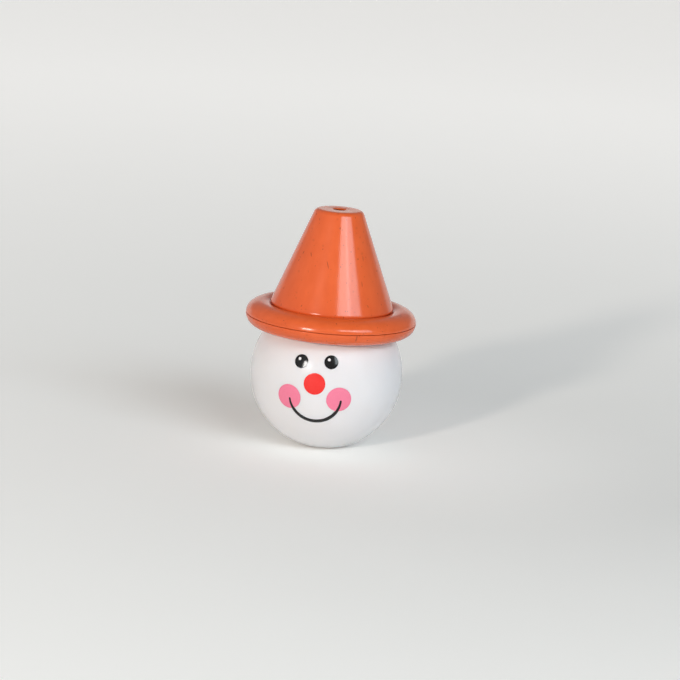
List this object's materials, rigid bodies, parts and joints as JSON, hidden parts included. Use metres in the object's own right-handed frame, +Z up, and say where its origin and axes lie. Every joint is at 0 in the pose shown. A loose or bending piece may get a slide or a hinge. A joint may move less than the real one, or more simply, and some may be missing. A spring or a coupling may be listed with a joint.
{
  "type": "stacking tower topper",
  "caption": "Clown-head topper of a stacking ring tower: hollow ball head with a printed face and a blind post socket, wearing a loose cone hat with a rolled brim.",
  "frame": {"origin": "centre of the flat foot ring under the head, on the post's axis", "axes": "+Z up along the post's axis, -Y the way the face looks, +X to the viewer's right of the face"},
  "size_m": [0.0694, 0.0694, 0.0972],
  "materials": {
    "white_plastic": "polished moulded white plastic with a pad-printed face",
    "natural_plastic": "satin moulded natural plastic",
    "orange_plastic": "glossy moulded orange plastic with fine dark fibre flecks",
    "black_ink": "pad-printed black ink, eyes and smile",
    "white_ink": "pad-printed white ink, glints in the eyes",
    "red_ink": "pad-printed red ink, nose",
    "pink_ink": "pad-printed pink ink, cheeks"
  },
  "bodies": {
    "head": {"head_front_shell": "white_plastic", "head_back_shell": "white_plastic", "post_sleeve": "natural_plastic"},
    "hat": {"hat_crown": "orange_plastic", "hat_brim_ring": "orange_plastic"}
  },
  "joints": [
    {"name": "hat_lift", "type": "slide", "parent": "head", "child": "hat", "axis": [0, 0, 1], "range_m": [0, 0.06]}
  ]
}
